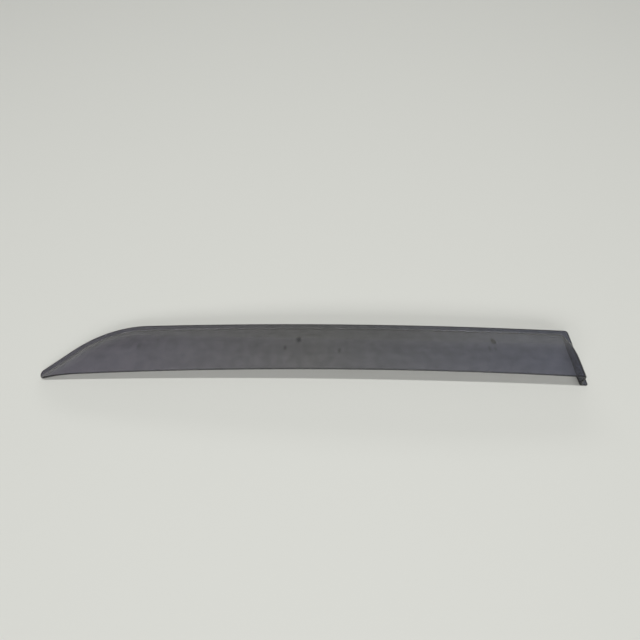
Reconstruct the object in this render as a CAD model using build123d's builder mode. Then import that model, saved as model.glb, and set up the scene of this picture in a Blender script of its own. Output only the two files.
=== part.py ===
import os
from math import cos, radians, sin, sqrt, tan

from build123d import *

# A smoked visor for the window of a rear door, moulded in one piece and lying with its outer side up.
# X runs from the pointed tail to the square end, Y from the free edge to the edge on the door frame,
# and Z out from the door. The flange that is stuck to the door lies on the ground.

# Plan, in millimetres and degrees
length = 760.0  # tip of the tail to the outer corner of the square end
width = 97.0  # ends of the free edge to the crest of the frame edge
frame_edge_radius = 7000.0
frame_edge_crest = 50.0  # from the middle towards the square end
free_edge_radius = 10700.0
tail_angle = 45.0
tail_radius = 150.0
tip_radius = 8.5
end_slant = 3.45
corner_radius = 5.0
free_corner_radius = 2.0

# Section
wall = 3.0
flange = 6.3
end_flange = 8.2
seat = 10.3  # width of the flange's underside, where the wall is thicker
seat_angle = 75.0
height = 30.3
height_crest = 127.0  # from the middle towards the square end
crown_along = 8000.0
crown_across = 450.0
crown_inset = 3.5  # from the ends of the free edge to the line where the crown is highest
shoulder_angle = 30.0
shoulder_radius = 70.0
end_angle = 83.3
end_radius = 4.0
end_inner_radius = 2.5
root_radius = 2.5
under_radius = 1.0
edge_radius = 1.0

# How far the construction runs past the moulding, all round and at the free edge
margin = 150.0
overrun = 40.0


def leave_circle(start, heading, centre, radius):
    """The point where a line from start, inside a circle, at a heading in degrees, leaves that circle."""
    way = Vector(cos(radians(heading)), sin(radians(heading)))
    gap = start - centre
    along = gap.dot(way)
    return start + way * (sqrt(along**2 - gap.dot(gap) + radius**2) - along)


# Circles and corners of the plan
half_length = length / 2
half_width = width / 2
frame_centre = Vector(frame_edge_crest, half_width - frame_edge_radius)
frame_crest = frame_centre + Vector(0, frame_edge_radius)
free_centre = Vector(0, -half_width - sqrt(free_edge_radius**2 - half_length**2))
free_crest = free_centre + Vector(0, free_edge_radius)
tip_x = tip_radius - half_length
tip_centre = Vector(tip_x, free_centre.Y + sqrt((free_edge_radius + tip_radius) ** 2 - tip_x**2))
tip_end = Vector(-half_length, tip_centre.Y)
free_start = free_centre + (tip_centre - free_centre).normalized() * free_edge_radius
tail_way = Vector(cos(radians(tail_angle)), sin(radians(tail_angle)))
tail_start = tip_centre + Vector(-tail_way.Y, tail_way.X) * tip_radius
tail_corner = leave_circle(tail_start, tail_angle, frame_centre, frame_edge_radius)
end_start = Vector(half_length, -half_width)
end_corner = leave_circle(end_start, 90 + end_slant, frame_centre, frame_edge_radius)
end_way = (end_corner - end_start).normalized()

# Plan that the bank follows, on the tail and the frame edge, run on past the free edge and the square end
far_end = leave_circle(Vector(half_length + margin, 0), 90, frame_centre, frame_edge_radius)
tail_reach = tail_way * (width + margin) / tail_way.Y
with BuildSketch() as bank:
    with BuildLine():
        ThreePointArc(tail_corner, frame_crest, far_end)
        Polyline(
            far_end,
            (far_end.X, -half_width - margin),
            tail_corner - tail_reach,
            tail_corner,
        )
    make_face()
    fillet(bank.vertices().sort_by_distance(tail_corner)[0], tail_radius)


def foot(angle, ledge, inset):
    """How far in from the plan's edge a skin that leans at angle, moved in by inset, meets the ground."""
    return ledge - wall / tan(radians(angle)) + inset / sin(radians(angle))


def hood(inset, end_round):
    """The raised body as a solid with its skins moved in by inset. It runs on past the free edge."""
    with BuildPart() as body:
        # Bank along the tail and the frame edge
        with BuildSketch():
            offset(bank.sketch, -foot(shoulder_angle, flange, inset))
        extrude(amount=height + wall, taper=90 - shoulder_angle)

        # Crown, arched along and across
        crown = crown_across - inset
        reach = half_length + height_crest + margin
        drop = crown_along - sqrt(crown_along**2 - reach**2)
        crown_plane = Plane((height_crest, crown_inset - half_width, height - crown_across))
        with BuildSketch(crown_plane):
            with BuildLine():
                ThreePointArc((-reach, crown - drop), (0, crown), (reach, crown - drop))
                Polyline((reach, crown - drop), (reach, 0), (-reach, 0), (-reach, crown - drop))
            make_face()
        revolve(axis=Axis(crown_plane.origin, (1, 0, 0)), revolution_arc=180, mode=Mode.INTERSECT)
        ridge = body.faces().filter_by(GeomType.REVOLUTION).edges()
        ridge = ridge.filter_by_position(Axis.X, -length, half_length)
        ridge = ridge.filter_by_position(Axis.Y, -half_width - margin / 2, half_width)
        fillet(ridge, shoulder_radius - inset)

        # Wall at the square end, nearly upright
        near_corner = end_start - end_way * overrun
        with BuildSketch():
            with BuildLine():
                Polyline(
                    near_corner,
                    end_corner + end_way * margin,
                    (-length, half_width + margin),
                    (-length, near_corner.Y),
                    close=True,
                )
            make_face()
            offset(amount=-foot(end_angle, end_flange, inset), mode=Mode.REPLACE)
        extrude(amount=height + wall, taper=90 - end_angle, mode=Mode.INTERSECT)
        rim = body.faces().sort_by(Axis.X)[-1].edges()
        rim = rim.filter_by_position(Axis.Z, wall, height)
        rim = rim.filter_by_position(Axis.Y, -half_width - overrun / 2, half_width)
        fillet(rim, end_round)
    return body.part


outer_hood = hood(0, end_radius)

# Hollow under the hood, which stops at the flange's underside
with BuildPart() as hollow:
    with BuildSketch():
        offset(bank.sketch, -seat)
    extrude(amount=height + wall, taper=90 - seat_angle)
    add(hood(wall, end_inner_radius), mode=Mode.INTERSECT)

with BuildPart() as visor:
    # Plan of the whole moulding
    with BuildSketch() as plan:
        with BuildLine():
            ThreePointArc(free_start, free_crest, end_start)
            Line(end_start, end_corner)
            ThreePointArc(end_corner, frame_crest, tail_corner)
            Line(tail_corner, tail_start)
            ThreePointArc(tail_start, tip_end, free_start)
        make_face()
        fillet(plan.vertices().sort_by_distance(tail_corner)[0], tail_radius)
        fillet(plan.vertices().sort_by_distance(end_corner)[0], corner_radius)
        fillet(plan.vertices().sort_by_distance(end_start)[0], free_corner_radius)

    # Hood on its flange, hollow and open along the free edge
    extrude(amount=height + wall)
    add(outer_hood, mode=Mode.INTERSECT)
    extrude(plan.sketch, amount=wall)
    fillet(visor.edges(Select.NEW), root_radius)
    add(hollow.part, mode=Mode.SUBTRACT)

    # Inner edge of the flange's underside, then both rims, which run on round the whole plan
    outline = plan.sketch.faces()[0].outer_wire()
    underside = visor.faces().filter_by(Plane.XY).sort_by(Axis.Z)[0]
    fillet(
        underside.edges().filter_by(lambda edge: outline.distance_to(edge @ 0.5) > flange / 2),
        under_radius,
    )
    tip_face = visor.faces().filter_by(GeomType.CYLINDER).sort_by(Axis.X)[0]
    fillet(tip_face.edges().filter_by(Axis.Z, reverse=True), edge_radius)

visor.part.label = "visor"
os.makedirs("parts", exist_ok=True)
export_step(visor.part, "parts/visor.step")
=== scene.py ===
import math

import bpy
import numpy as np
from mathutils.geometry import delaunay_2d_cdt
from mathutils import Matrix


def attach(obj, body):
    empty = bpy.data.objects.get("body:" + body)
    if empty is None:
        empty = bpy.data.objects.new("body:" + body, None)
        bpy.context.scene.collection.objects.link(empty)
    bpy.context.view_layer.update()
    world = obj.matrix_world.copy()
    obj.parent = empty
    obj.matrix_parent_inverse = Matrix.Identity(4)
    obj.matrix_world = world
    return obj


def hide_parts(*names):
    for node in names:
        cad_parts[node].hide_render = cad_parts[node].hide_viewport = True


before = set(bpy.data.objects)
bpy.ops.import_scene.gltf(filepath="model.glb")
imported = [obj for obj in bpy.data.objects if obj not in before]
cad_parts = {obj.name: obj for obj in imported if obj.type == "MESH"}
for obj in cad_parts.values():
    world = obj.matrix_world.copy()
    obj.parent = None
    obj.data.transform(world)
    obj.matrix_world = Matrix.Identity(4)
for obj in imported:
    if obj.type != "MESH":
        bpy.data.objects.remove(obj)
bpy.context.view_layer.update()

# Camera, in metres and degrees, from a fit to the photograph
CAMERA_AT = (0.01454, -0.37639, 0.635)
CAMERA_PITCH = 55.65  # below the horizon
CAMERA_TURN = 0.70  # to the left of +Y
CAMERA_NEAR = 0.01
FOCAL_PIXELS = 511.4
FRAME_PIXELS = 640
SENSOR_MM = 36.0

# Floor, lamps and sky, in metres, degrees and watts
FLOOR_SIZE = 5.0
FLOOR_GAP = 0.0002  # air under the flange
FLOOR_COLOUR = (0.63, 0.635, 0.595)
FLOOR_ROUGHNESS = 0.7
TUBE_HEIGHT = 3.0
TUBE_SIZE = (3.6, 0.12)
TUBE_LEAN = 1.7  # how far it stands off the vertical, towards the camera's side
TUBE_WATTS = 73.5
SIDE_DISTANCE = 4.5  # of wide lamps in front and behind, low enough to light the floor under the hood
SIDE_HEIGHT = 1.5
SIDE_SIZE = (4.5, 0.6)
FRONT_WATTS = 165.0
BACK_WATTS = 57.0
SKY_COLOUR = (1, 1, 1, 1)
SKY_FILL = 0.08  # its strength as a light
SKY_SEEN = 0.75  # its strength low down as it is seen, also in the gloss and through the plastic
SKY_TOP = 1.0  # the same overhead
SKY_TURN = (48, 61)  # degrees above the horizon, between which the one grows into the other

# Smoked acrylic
SURFACE_IOR = 1.42  # below new acrylic's 1.49, because wear has dulled its reflection
PASSED = (0.386, 0.383, 0.386)  # share of each colour that passes one wall
CLEAR_SHARE = 0.98  # the rest is scattered by a veil of fine dust
SHADOW_SHARE = 0.96  # what each face lets through of the light that falls on the floor
HUES_WITH_PAINTED_LIGHT = ((0.83, 0.80, 1.0), (0.76, 0.76, 0.785), (0.70, 0.735, 0.95))  # tail, middle and square end; the tail's lighter hue is painted light
HUE_REACH = 0.34  # metres from the middle hue to that of either end
HUE_MIDDLE = 0.5  # share of the way from the tail's hue where the middle one lies

# Soil on the plastic, with places and sizes in metres, and the colour that also paints shade on the edge
# and in the root of the bank. Film and streaks grow to their depth over a range of their noise.
NOISE_MIDDLE = 0.5
SOIL_AND_SHADE_COLOUR = (0.08, 0.078, 0.085)
FILM_SIZE = 0.014
FILM_DETAIL = 4
FILM_RANGE = (0.35, 0.7)
FILM_DEPTH = 0.19
STREAK_SIZE = (0.16, 0.012, 0.012)
STREAK_DETAIL = 2
STREAK_RANGE = (0.4, 0.7)
STREAK_DEPTH = 0.075
MARK_EDGE = 0.004  # grain of a mark's outline, and how far it wanders
MARK_DETAIL = 2
MARK_RUN = (1, 0.55, 0.55)  # marks are drawn out down the slope

# Marks, each with its place, its radius and its depth, which is past 1 where its dark middle is wide
MARKS = (
    ((0.2555, 0.0107, 0.0190), 0.0052, 2.4),
    ((0.2560, 0.0180, 0.0150), 0.0036, 0.70),
    ((0.2462, -0.0051, 0.0262), 0.0058, 0.42),
    ((0.2535, -0.0058, 0.0263), 0.0042, 0.42),
    ((-0.0200, 0.0100, 0.0208), 0.0062, 1.40),
    ((-0.0386, -0.0072, 0.0264), 0.0046, 0.60),
    ((0.0370, -0.0122, 0.0282), 0.0046, 0.52),
    ((-0.2451, -0.0029, 0.0193), 0.0080, 0.34),
)

# Darkening of the outer side, in millimetres along it and in from the frame edge
ROOT_SHADE_DEPTH = 0.24  # painted shade in the root of the bank
ROOT_ALONG = (-40, 120)  # where it begins to fade towards the square end, and where it is gone
ROOT_ACROSS = (4.6, 7.2, 9.8)  # where it begins, is full and is gone
BANK_DEPTH = 0.40  # on the middle stretch of the bank
BANK_ALONG = (-200, 20, 130, 270)  # where it begins, is full, begins to fade and is gone
BANK_ACROSS = (7, 12, 26, 50)

# Wear of the surface, and painted shade on its edge, with sizes in metres
POLISH = (0.02, 0.07)  # roughness of the cleanest and the dullest patches
POLISH_SIZE = 0.05
POLISH_DETAIL = 3
POLISH_RANGE = (0.3, 0.7)
HAIRLINE_SIZE = (0.09, 0.0011, 0.0011)
HAIRLINE_DETAIL = 1
HAIRLINE_WIDTH = 0.012  # as a change of its noise
HAIRLINE_ROUGHNESS = 0.10
EDGE_ROUGHNESS = 0.15  # of the trimmed edge all round
EDGE_SHADE_DEPTH = 0.75  # of the painted shade on that edge
EDGE_FROM = 0.85  # share of the edge's weight at which it begins
WAVE_SIZE = 0.06
WAVE_DETAIL = 1
WAVE_DEPTH = 0.00006

# Sockets of a Mix node that take and give colours
MIX_FIRST = 6
MIX_SECOND = 7
MIX_RESULT = 2

# Plan of the visor, in millimetres and degrees, with the values of the solid that it stands for
MM = 0.001
LENGTH = 760.0
WIDTH = 97.0
FRAME_EDGE_RADIUS = 7000.0
FRAME_EDGE_CREST = 50.0  # from the middle towards the square end
FREE_EDGE_RADIUS = 10700.0
TAIL_ANGLE = 45.0
TAIL_RADIUS = 150.0
TIP_RADIUS = 8.5
END_SLANT = 3.45
CORNER_RADIUS = 5.0
FREE_CORNER_RADIUS = 2.0

# Section of the visor, in millimetres and radians
WALL = 3.0
FLANGE = 6.3
END_FLANGE = 8.2
SEAT = 10.3  # width of the flange's underside
SEAT_ANGLE = math.radians(75.0)
HEIGHT = 30.3
HEIGHT_CREST = 127.0  # from the middle towards the square end
CROWN_ALONG = 8000.0
CROWN_ACROSS = 450.0
CROWN_INSET = 3.5  # from the ends of the free edge to the line where the crown is highest
SHOULDER_ANGLE = math.radians(30.0)
SHOULDER_RADIUS = 70.0
END_ANGLE = math.radians(83.3)
END_RADIUS = 4.0
END_INNER_RADIUS = 2.5
ROOT_RADIUS = 2.5
UNDER_RADIUS = 1.0
EDGE_RADIUS = 1.0

# Mesh lines of the visor, in millimetres, with distances in from the frame edge and the square end
BEND_FROM = 5.0  # the flange is flat up to here
BEND_STEP = 0.2
BEND_TO = 11.6
SHOULDER_STEP = 2.0
SHOULDER_TO = 60.0
CROWN_STEP = 6.0
END_STEP = 0.15
END_TO = 17.0
EDGE_STEP = 6.0
TAIL_STEP = 3.0
TIP_STEP = 1.2
CORNER_STEP = 0.5
EDGE_CLEAR = 2.6  # between the free edge and the nearest mesh line
MERGE_DISTANCE = 1e-6
INSIDE_ONLY = 1  # no triangles are made outside the border
ARC_STEPS = 4  # in the rounding of a rim
HALVINGS = 44  # in the search for the height of a skin
LEAST_SPREAD = 1e-9  # where two skins run the same way


def heading(degrees):
    return np.array((math.cos(math.radians(degrees)), math.sin(math.radians(degrees))))


def leave_circle(start, way, centre, radius):
    """Where a line from start, inside a circle, leaves it."""
    gap = start - centre
    along = gap @ way
    return start + way * (math.sqrt(along**2 - gap @ gap + radius**2) - along)


def enter_circle(start, way, centre, radius):
    """Where a line from start, outside a circle, enters it."""
    gap = start - centre
    along = gap @ way
    return start - way * (along + math.sqrt(along**2 - gap @ gap + radius**2))


def unit(vectors):
    return vectors / np.linalg.norm(vectors, axis=-1, keepdims=True)


# Circles and lines of the plan
FRAME_CENTRE = np.array((FRAME_EDGE_CREST, WIDTH / 2 - FRAME_EDGE_RADIUS))
FREE_CENTRE = np.array((0, -WIDTH / 2 - math.sqrt(FREE_EDGE_RADIUS**2 - (LENGTH / 2) ** 2)))
TIP_X = TIP_RADIUS - LENGTH / 2
TIP_RISE = math.sqrt((FREE_EDGE_RADIUS + TIP_RADIUS) ** 2 - TIP_X**2)
TIP_CENTRE = np.array((TIP_X, FREE_CENTRE[1] + TIP_RISE))
TAIL_WAY = heading(TAIL_ANGLE)
TAIL_IN = heading(TAIL_ANGLE - 90)
TAIL_START = TIP_CENTRE - TAIL_IN * TIP_RADIUS
TAIL_CENTRE = leave_circle(
    TAIL_START + TAIL_IN * TAIL_RADIUS, TAIL_WAY, FRAME_CENTRE, FRAME_EDGE_RADIUS - TAIL_RADIUS
)
END_START = np.array((LENGTH, -WIDTH)) / 2
END_WAY = heading(90 + END_SLANT)
END_IN = heading(180 + END_SLANT)
CORNER_CENTRE = leave_circle(
    END_START + END_IN * CORNER_RADIUS, END_WAY, FRAME_CENTRE, FRAME_EDGE_RADIUS - CORNER_RADIUS
)
FREE_CORNER_CENTRE = leave_circle(
    END_START + END_IN * FREE_CORNER_RADIUS, END_WAY, FREE_CENTRE, FREE_EDGE_RADIUS + FREE_CORNER_RADIUS
)


def add_camera():
    data = bpy.data.cameras.new("camera")
    data.sensor_width = SENSOR_MM
    data.lens = FOCAL_PIXELS / FRAME_PIXELS * SENSOR_MM
    data.clip_start = CAMERA_NEAR
    camera = bpy.data.objects.new("camera", data)
    camera.location = CAMERA_AT
    camera.rotation_euler = (math.radians(90 - CAMERA_PITCH), 0, math.radians(CAMERA_TURN))
    bpy.context.collection.objects.link(camera)
    bpy.context.scene.camera = camera


def new_material(name):
    material = bpy.data.materials.new(name)
    material.use_nodes = True
    material.node_tree.nodes.clear()
    return material, material.node_tree


def node(tree, kind, inputs=None, **settings):
    """A shader node with its settings, and its inputs set to values or linked to other nodes' outputs."""
    made = tree.nodes.new("ShaderNode" + kind)
    for name, value in settings.items():
        setattr(made, name, value)
    for name, value in (inputs or {}).items():
        if isinstance(value, bpy.types.NodeSocket):
            tree.links.new(value, made.inputs[name])
        else:
            made.inputs[name].default_value = value
    return made


def reckon(tree, operation, *values):
    """What one operation of a Math node makes of some values."""
    return node(tree, "Math", dict(enumerate(values)), operation=operation).outputs[0]


def combine(tree, operation, *vectors):
    """What one operation of a Vector Math node makes of some vectors, where the result is a vector."""
    return node(tree, "VectorMath", dict(enumerate(vectors)), operation=operation).outputs[0]


def remap(tree, value, source, target, smooth=False):
    """A value taken from the range source to the range target, and held at its ends."""
    inputs = {"Value": value}
    inputs["From Min"], inputs["From Max"] = source
    inputs["To Min"], inputs["To Max"] = target
    curve = "SMOOTHSTEP" if smooth else "LINEAR"
    return node(tree, "MapRange", inputs, interpolation_type=curve).outputs[0]


def weight(tree, name):
    """One of the mesh's own weights."""
    return node(tree, "Attribute", attribute_name=name).outputs["Fac"]


def noise(tree, place, size, detail, output="Fac"):
    """A noise from 0 to 1 with grains of this size, which is one length or one for each axis."""
    scaled = combine(tree, "MULTIPLY", place, tuple(1 / np.broadcast_to(size, 3)))
    return node(tree, "TexNoise", {"Vector": scaled, "Scale": 1, "Detail": detail}).outputs[output]


def add_floor():
    half = FLOOR_SIZE / 2
    mesh = bpy.data.meshes.new("floor")
    corners = [(-half, -half, 0), (half, -half, 0), (half, half, 0), (-half, half, 0)]
    mesh.from_pydata(corners, [], [(0, 1, 2, 3)])
    floor = bpy.data.objects.new("floor", mesh)
    floor.location.z = -FLOOR_GAP
    bpy.context.collection.objects.link(floor)
    material, tree = new_material("floor")
    finish = {"Base Color": (*FLOOR_COLOUR, 1), "Roughness": FLOOR_ROUGHNESS}
    surface = node(tree, "BsdfPrincipled", finish)
    node(tree, "OutputMaterial", {"Surface": surface.outputs[0]})
    mesh.materials.append(material)


def add_lamp(name, place, lean, size, watts):
    """A rectangular lamp that points down, tipped by lean degrees to throw its light towards +Y."""
    data = bpy.data.lights.new(name, "AREA")
    data.shape = "RECTANGLE"
    data.size, data.size_y = size
    data.energy = watts
    lamp = bpy.data.objects.new(name, data)
    lamp.location = place
    lamp.rotation_euler = (math.radians(lean), 0, 0)
    bpy.context.collection.objects.link(lamp)
    return lamp


def add_lamps():
    """A tube overhead, and two wide lamps that give light alone and don't show in the gloss."""
    tube_y = -TUBE_HEIGHT * math.tan(math.radians(TUBE_LEAN))
    add_lamp("tube", (0, tube_y, TUBE_HEIGHT), TUBE_LEAN, TUBE_SIZE, TUBE_WATTS)
    side_lean = math.degrees(math.atan2(SIDE_DISTANCE, SIDE_HEIGHT))
    for name, side, watts in (("front", -1, FRONT_WATTS), ("back", 1, BACK_WATTS)):
        place = (0, side * SIDE_DISTANCE, SIDE_HEIGHT)
        lamp = add_lamp(name, place, -side * side_lean, SIDE_SIZE, watts)
        lamp.visible_glossy = False
        lamp.visible_transmission = False


def add_sky():
    """A pale sky that gives little light, and looks brighter overhead."""
    world = bpy.data.worlds.new("sky")
    world.use_nodes = True
    tree = world.node_tree
    tree.nodes.clear()
    path = node(tree, "LightPath")
    seen = path.outputs["Is Camera Ray"]
    for ray in ("Is Glossy Ray", "Is Transmission Ray"):
        seen = reckon(tree, "MAXIMUM", seen, path.outputs[ray])
    way = node(tree, "TexCoord").outputs["Generated"]
    climb = node(tree, "SeparateXYZ", {"Vector": way}).outputs["Z"]
    climbs = [math.sin(math.radians(turn)) for turn in SKY_TURN]
    shown = remap(tree, climb, climbs, (SKY_SEEN, SKY_TOP), smooth=True)
    strength = remap(tree, seen, (0, 1), (SKY_FILL, shown))
    background = node(tree, "Background", {"Color": SKY_COLOUR, "Strength": strength})
    node(tree, "OutputWorld", {"Surface": background.outputs[0]})
    bpy.context.scene.world = world


def edge_share(tree):
    return remap(tree, weight(tree, "edge"), (EDGE_FROM, 1), (0, 1))


def soil_and_shade(tree, place):
    """Share of soil and painted shade: mottled film, wiped streaks, dark marks, a darker bank, and painted
    shade in its root and on the edge.
    """
    film = remap(tree, noise(tree, place, FILM_SIZE, FILM_DETAIL), FILM_RANGE, (0, FILM_DEPTH))
    streak = noise(tree, place, STREAK_SIZE, STREAK_DETAIL)
    streak = remap(tree, streak, STREAK_RANGE, (0, STREAK_DEPTH))
    total = reckon(tree, "ADD", film, streak)
    # Painted shade in the root of the bank, and a darker middle stretch of the bank
    total = reckon(tree, "ADD", total, weight(tree, "darker_root_and_bank"))
    ragged = noise(tree, place, MARK_EDGE, MARK_DETAIL, "Color")
    shift = combine(tree, "SUBTRACT", ragged, (NOISE_MIDDLE,) * 3)
    shift = combine(tree, "MULTIPLY", shift, (MARK_EDGE,) * 3)
    moved = combine(tree, "ADD", place, shift)
    moved = combine(tree, "MULTIPLY", moved, MARK_RUN)
    for centre, radius, depth in MARKS:
        drawn = tuple(np.multiply(centre, MARK_RUN))
        away = node(tree, "VectorMath", {0: moved, 1: drawn}, operation="DISTANCE").outputs["Value"]
        mark = remap(tree, away, (0, radius), (depth, 0), smooth=True)
        total = reckon(tree, "MAXIMUM", total, mark)
    # Painted shade along the trimmed edge
    edge = reckon(tree, "MULTIPLY", edge_share(tree), EDGE_SHADE_DEPTH)
    return reckon(tree, "MAXIMUM", total, edge)


def polish(tree, place):
    """Roughness: duller patches, hairline scratches along the visor and a matt edge all round."""
    patches = remap(tree, noise(tree, place, POLISH_SIZE, POLISH_DETAIL), POLISH_RANGE, POLISH)
    grain = noise(tree, place, HAIRLINE_SIZE, HAIRLINE_DETAIL)
    away = reckon(tree, "ABSOLUTE", reckon(tree, "SUBTRACT", grain, NOISE_MIDDLE))
    scratches = remap(tree, away, (0, HAIRLINE_WIDTH), (HAIRLINE_ROUGHNESS, 0))
    worn = reckon(tree, "ADD", patches, scratches)
    edge = reckon(tree, "MULTIPLY", edge_share(tree), EDGE_ROUGHNESS)
    return reckon(tree, "MAXIMUM", worn, edge)


def smoke_colour_and_painted_light(tree, place):
    """The plastic's colour, which drifts from the tail to the square end, with a lighter tail that is
    painted light.
    """
    along = node(tree, "SeparateXYZ", {"Vector": place}).outputs["X"]
    share = remap(tree, along, (-HUE_REACH, HUE_REACH), (0, 1))
    drift = node(tree, "ValToRGB", {"Fac": share})
    stops = drift.color_ramp.elements
    stops.new(HUE_MIDDLE)
    for stop, hue in zip(stops, HUES_WITH_PAINTED_LIGHT):
        stop.color = (*hue, 1)
    return drift.outputs["Color"]


def acrylic():
    """Clear plastic that absorbs light in its thickness. Light for the floor goes straight through."""
    material, tree = new_material("smoked_acrylic")
    place = node(tree, "TexCoord").outputs["Object"]
    colours = {MIX_FIRST: smoke_colour_and_painted_light(tree, place), MIX_SECOND: (*SOIL_AND_SHADE_COLOUR, 1)}
    tint = node(tree, "Mix", {"Factor": soil_and_shade(tree, place), **colours}, data_type="RGBA")
    wave = noise(tree, place, WAVE_SIZE, WAVE_DETAIL)
    glass = node(
        tree,
        "BsdfPrincipled",
        {
            "Base Color": tint.outputs[MIX_RESULT],
            "Roughness": polish(tree, place),
            "IOR": SURFACE_IOR,
            "Transmission Weight": CLEAR_SHARE,
            "Normal": node(tree, "Bump", {"Height": wave, "Distance": WAVE_DEPTH}).outputs[0],
        },
    )
    clear = node(tree, "BsdfTransparent", {"Color": (SHADOW_SHARE, SHADOW_SHARE, SHADOW_SHARE, 1)})
    path = node(tree, "LightPath")
    surface = glass.outputs[0]
    for ray in ("Is Diffuse Ray", "Is Shadow Ray"):
        sides = {0: path.outputs[ray], 1: surface, 2: clear.outputs[0]}
        surface = node(tree, "MixShader", sides).outputs[0]
    absorbed = [-math.log(share) / (WALL * MM) for share in PASSED]
    density = max(absorbed)
    hue = (*[1 - value / density for value in absorbed], 1)
    smoke = node(tree, "VolumeAbsorption", {"Color": hue, "Density": density})
    node(tree, "OutputMaterial", {"Surface": surface, "Volume": smoke.outputs[0]})
    return material


def from_bank(places):
    """Distance in from the frame edge, the bend and the tail, and the way that it grows."""
    from_frame = places - FRAME_CENTRE
    distance = FRAME_EDGE_RADIUS - np.linalg.norm(from_frame, axis=-1)
    inward = -unit(from_frame)
    from_tail = places - TAIL_CENTRE
    spoke = TAIL_CENTRE - FRAME_CENTRE
    bend = spoke[0] * from_tail[:, 1] - spoke[1] * from_tail[:, 0] > 0
    distance[bend] = TAIL_RADIUS - np.linalg.norm(from_tail[bend], axis=-1)
    inward[bend] = -unit(from_tail[bend])
    straight = from_tail @ TAIL_WAY < 0
    distance[straight] = (places[straight] - TAIL_START) @ TAIL_IN
    inward[straight] = TAIL_IN
    return distance, inward


def foot(angle, ledge, inset):
    """How far in from the edge a skin that leans at angle, moved in by inset, meets the ground."""
    return ledge - WALL / math.tan(angle) + inset / math.sin(angle)


def leaning(heights, angle, start, distance, inward):
    """Signed distance above a skin that leans at angle from where it starts, and the skin's normals."""
    above = heights * math.cos(angle) - (distance - start) * math.sin(angle)
    normals = np.empty((len(heights), 3))
    normals[:, :2] = -inward * math.sin(angle)
    normals[:, 2] = math.cos(angle)
    return above, normals


def crown(places, heights, inset):
    """Signed distance above the crown, which is arched along and across, and its normals."""
    along = places[:, 0] - HEIGHT_CREST
    chord = np.sqrt(CROWN_ALONG**2 - along**2)
    radius = CROWN_ACROSS - inset - CROWN_ALONG + chord
    across = np.stack((places[:, 1] + WIDTH / 2 - CROWN_INSET, heights - HEIGHT + CROWN_ACROSS), axis=-1)
    reach = np.linalg.norm(across, axis=-1)
    normals = unit(np.column_stack((along / chord, across / reach[:, None])))
    return (reach - radius) * np.linalg.norm(normals[:, 1:], axis=-1), normals


def level(heights, at):
    """Signed distance above a level skin, and its normals."""
    normals = np.zeros((len(heights), 3))
    normals[:, 2] = 1
    return heights - at, normals


def opposite(skin):
    """The same skin seen from its other side."""
    return -skin[0], -skin[1]


def rounded(first, second, radius):
    """What lies under both skins, with the edge between them rounded by a ball of that radius."""
    (one, one_normals), (two, two_normals) = first, second
    cosine = (one_normals * two_normals).sum(axis=-1)
    spread = np.maximum(1 - cosine**2, LEAST_SPREAD)
    one_share = (one + radius - cosine * (two + radius)) / spread
    two_share = (two + radius - cosine * (one + radius)) / spread
    ball = one_share[:, None] * one_normals + two_share[:, None] * two_normals
    length = np.linalg.norm(ball, axis=-1)
    bend = (one_share > 0) & (two_share > 0)
    over = np.where(bend, length - radius, np.maximum(one, two))
    normals = np.where((one > two)[:, None], one_normals, two_normals)
    normals[bend] = ball[bend] / length[bend, None]
    return over, normals


def hood(places, heights, inset, end_radius):
    """Signed distance above the hood with its skins moved in by inset, and its normals."""
    bank_foot = foot(SHOULDER_ANGLE, FLANGE, inset)
    bank = leaning(heights, SHOULDER_ANGLE, bank_foot, *from_bank(places))
    roof = rounded(bank, crown(places, heights, inset), SHOULDER_RADIUS - inset)
    from_end = (places - END_START) @ END_IN
    inward = np.tile(END_IN, (len(places), 1))
    end_foot = foot(END_ANGLE, END_FLANGE, inset)
    return rounded(roof, leaning(heights, END_ANGLE, end_foot, from_end, inward), end_radius)


def outer_skin(places, heights):
    """Signed distance above the hood and its flange, and the normals."""
    flange = level(heights, WALL)
    body = hood(places, heights, 0, END_RADIUS)
    return opposite(rounded(opposite(body), opposite(flange), ROOT_RADIUS))


def inner_skin(places, heights):
    """Signed distance under the flange and the hollow of the hood, and the normals."""
    roof, roof_normals = hood(places, heights, WALL, END_INNER_RADIUS)
    step, step_normals = leaning(heights, SEAT_ANGLE, SEAT, *from_bank(places))
    hollow = np.maximum(roof, step), np.where((roof > step)[:, None], roof_normals, step_normals)
    return rounded(opposite(hollow), opposite(level(heights, 0)), UNDER_RADIUS)


def on_skin(skin, places, depth):
    """The points over these places that lie depth inside a skin, and the skin's normals there."""
    rising = 1 if skin is outer_skin else -1
    low = np.full(len(places), -HEIGHT)
    high = np.full(len(places), 2 * HEIGHT)
    for _ in range(HALVINGS):
        middle = (low + high) / 2
        outside = rising * (skin(places, middle)[0] + depth) > 0
        high = np.where(outside, middle, high)
        low = np.where(outside, low, middle)
    return np.column_stack((places, low)), skin(places, low)[1]


def arc(centre, radius, start, end, step):
    """Points along an arc of the plan, without its end, and their inward ways.

    The radius is negative where the edge is hollow.
    """
    count = math.ceil(abs(radius * (end - start)) / step)
    angles = start + (end - start) * np.arange(count) / count
    out = np.column_stack((np.cos(angles), np.sin(angles)))
    return centre + out * abs(radius), -out * math.copysign(1, radius)


def line(start, end, inward, step):
    """Points along a line of the plan, without its end, and their inward ways."""
    count = math.ceil(np.linalg.norm(end - start) / step)
    shares = np.arange(count)[:, None] / count
    return start + (end - start) * shares, np.tile(inward, (count, 1))


def angle_of(vector):
    return math.atan2(vector[1], vector[0])


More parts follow.
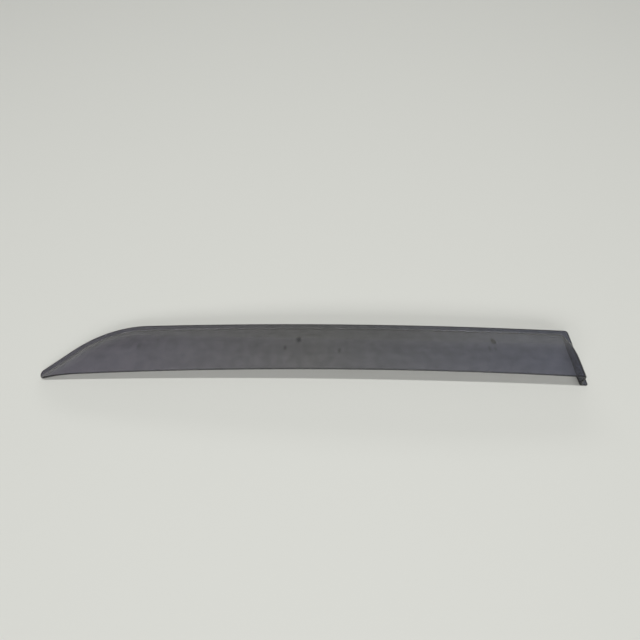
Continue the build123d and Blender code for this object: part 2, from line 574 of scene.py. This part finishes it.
def outline():
    """The plan's edge, anticlockwise, as points and their inward ways, and the mesh's columns.

    A column has a head on the frame edge, the bend or the tail and a foot on the free edge, both points of
    the plan's edge. Those with a head on the frame edge come first, and their number is given last.
    """
    # Heads and feet of the columns
    frame_end = FRAME_CENTRE + unit(TAIL_CENTRE - FRAME_CENTRE) * FRAME_EDGE_RADIUS
    reach = (frame_end - END_START) @ END_IN
    fine = np.arange(BEND_FROM, END_TO, END_STEP)
    coarse = np.linspace(END_TO, reach, math.ceil((reach - END_TO) / EDGE_STEP), endpoint=False)
    starts = END_START - END_WAY * WIDTH + np.concatenate((fine, coarse))[:, None] * END_IN
    heads = np.array([leave_circle(start, END_WAY, FRAME_CENTRE, FRAME_EDGE_RADIUS) for start in starts])
    feet = [leave_circle(start, END_WAY, FREE_CENTRE, FREE_EDGE_RADIUS) for start in starts]
    bend_start = angle_of(TAIL_CENTRE - FRAME_CENTRE)
    bend_end = math.radians(TAIL_ANGLE + 90)
    bend = arc(TAIL_CENTRE, TAIL_RADIUS, bend_start, bend_end, TAIL_STEP)
    tail = line(TAIL_CENTRE - TAIL_IN * TAIL_RADIUS, TAIL_START, TAIL_IN, TIP_STEP)
    for places, ways in (bend, tail):
        feet += [enter_circle(*column, FREE_CENTRE, FREE_EDGE_RADIUS) for column in zip(places, ways)]
    feet = np.array(feet)

    # Stretches of the edge from the square end round to the corner on the free edge
    slant = math.radians(END_SLANT)
    end_bottom = FREE_CORNER_CENTRE - END_IN * FREE_CORNER_RADIUS
    end_top = CORNER_CENTRE - END_IN * CORNER_RADIUS
    end = line(end_bottom, end_top, END_IN, EDGE_STEP)
    corner = arc(CORNER_CENTRE, CORNER_RADIUS, slant, angle_of(CORNER_CENTRE - FRAME_CENTRE), CORNER_STEP)
    tip_end = angle_of(FREE_CENTRE - TIP_CENTRE) + 2 * math.pi
    tip = arc(TIP_CENTRE, TIP_RADIUS, bend_end, tip_end, TIP_STEP)
    free_places = (TIP_CENTRE, feet[-1], feet[0], FREE_CORNER_CENTRE)
    free_turns = [angle_of(place - FREE_CENTRE) for place in free_places]
    tip_side = arc(FREE_CENTRE, -FREE_EDGE_RADIUS, *free_turns[:2], TIP_STEP)
    end_side = arc(FREE_CENTRE, -FREE_EDGE_RADIUS, *free_turns[2:], TIP_STEP)
    free_start = angle_of(FREE_CENTRE - FREE_CORNER_CENTRE)
    free_corner = arc(FREE_CORNER_CENTRE, FREE_CORNER_RADIUS, free_start, slant, CORNER_STEP)
    frame_edge = (heads, -unit(heads - FRAME_CENTRE))
    free_edge = (feet[:0:-1], unit(feet[:0:-1] - FREE_CENTRE))
    stretches = (end, corner, frame_edge, bend, tail, tip, tip_side, free_edge, end_side, free_corner)

    first_head = len(end[0]) + len(corner[0])
    last_foot = first_head + len(feet) + len(tip[0]) + len(tip_side[0]) + len(feet) - 1
    columns = [(first_head + number, last_foot - number) for number in range(len(feet))]
    points, ways = (np.vstack(parts) for parts in zip(*stretches))
    return points, ways, columns, len(heads)


def rim(skin, points, ways):
    """Rings of points and normals round the edge of the visor, from a skin to its upright edge."""
    middles, normals = on_skin(skin, points + ways * EDGE_RADIUS, EDGE_RADIUS)
    out = np.column_stack((-ways, np.zeros(len(ways))))
    turn = np.arccos(np.clip((normals * out).sum(axis=-1), -1, 1))[:, None]
    rings = []
    for share in np.linspace(0, 1, ARC_STEPS + 1):
        facing = (np.sin((1 - share) * turn) * normals + np.sin(share * turn) * out) / np.sin(turn)
        rings.append((middles + facing * EDGE_RADIUS, facing))
    return rings


def rows():
    """Distances of the mesh's rows in from the frame edge, close together where the section bends."""
    bends = np.arange(BEND_FROM, BEND_TO, BEND_STEP)
    shoulder = np.arange(BEND_TO, SHOULDER_TO, SHOULDER_STEP)
    return np.concatenate((bends, shoulder, np.arange(SHOULDER_TO, WIDTH, CROWN_STEP)))


def skin_faces(skin, border, heads, ways, columns, frame_columns):
    """Points and normals inside a border on a skin, and triangles over the border's points and these."""
    depths = rows()
    places = list(border)
    edges = [(number, (number + 1) % len(border)) for number in range(len(border))]
    before = {}
    for number, (top, bottom) in enumerate(columns):
        column = {}
        for row, depth in enumerate(depths):
            if number < frame_columns:
                place = leave_circle(border[bottom], END_WAY, FRAME_CENTRE, FRAME_EDGE_RADIUS - depth)
            else:
                place = heads[top] + ways[top] * depth
            if np.linalg.norm(place - FREE_CENTRE) < FREE_EDGE_RADIUS + EDGE_CLEAR:
                break
            column[row] = len(places)
            places.append(place)
            if row:
                edges.append((column[row - 1], column[row]))
            if row in before:
                edges.append((before[row], column[row]))
        before = column
    flat = [tuple(place) for place in places]
    _, _, faces, origins, _, _ = delaunay_2d_cdt(flat, edges, [], INSIDE_ONLY, MERGE_DISTANCE)
    triangles = [[origins[corner][0] for corner in face] for face in faces]
    inside = np.array(places[len(border):])
    return *on_skin(skin, inside, 0), triangles


def painted_root_shade_and_bank_darkening(points, normals):
    """Share of darkening on the outer side: painted shade in the root of the bank, and a darker middle of
    the bank.
    """
    across = from_bank(points[:, :2])[0]
    along = points[:, 0]
    root = np.interp(across, ROOT_ACROSS, (0, 1, 0)) * np.interp(along, ROOT_ALONG, (1, 0))
    bank = np.interp(across, BANK_ACROSS, (0, 1, 1, 0)) * np.interp(along, BANK_ALONG, (0, 1, 1, 0))
    return np.where(normals[:, 2] > 0, ROOT_SHADE_DEPTH * root + BANK_DEPTH * bank, 0)


def moulding():
    """Points, normals and faces of the visor as one closed mesh, and the number of points on its rim."""
    edge, ways, columns, frame_columns = outline()
    count = len(edge)
    rings = rim(outer_skin, edge, ways) + rim(inner_skin, edge, ways)[::-1]
    points = [ring for ring, _ in rings]
    normals = [facing for _, facing in rings]
    faces = []
    for ring in range(len(rings) - 1):
        low = ring * count
        high = low + count
        for number in range(count):
            after = (number + 1) % count
            faces.append((low + number, high + number, high + after, low + after))
    on_rim = len(rings) * count
    total = on_rim
    for skin, ring, step in ((outer_skin, 0, 1), (inner_skin, len(rings) - 1, -1)):
        border = points[ring][:, :2]
        inside, facing, triangles = skin_faces(skin, border, edge, ways, columns, frame_columns)
        corners = [*range(ring * count, (ring + 1) * count), *range(total, total + len(inside))]
        faces += [tuple(corners[corner] for corner in triangle[::step]) for triangle in triangles]
        points.append(inside)
        normals.append(facing)
        total += len(inside)
    return np.vstack(points), np.vstack(normals), faces, on_rim


def add_visor():
    """The moulding with the normals of its true surface, and weights for its rim and the darkening of its
    root and bank.
    """
    points, normals, faces, on_rim = moulding()
    mesh = bpy.data.meshes.new("visor_moulding")
    mesh.from_pydata((points * MM).tolist(), [], faces)
    mesh.shade_smooth()
    mesh.normals_split_custom_set_from_vertices(normals.tolist())
    weights = {"edge": np.arange(len(points)) < on_rim, "darker_root_and_bank": painted_root_shade_and_bank_darkening(points, normals)}
    for name, values in weights.items():
        attribute = mesh.attributes.new(name, "FLOAT", "POINT")
        attribute.data.foreach_set("value", values.astype(np.float32))
    mesh.materials.append(acrylic())
    piece = bpy.data.objects.new("visor_moulding", mesh)
    bpy.context.collection.objects.link(piece)
    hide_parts("visor")
    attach(piece, "root")


add_camera()
add_floor()
add_lamps()
add_sky()
add_visor()

scene = bpy.context.scene
scene.view_settings.view_transform = "Standard"

bpy.context.view_layer.update()
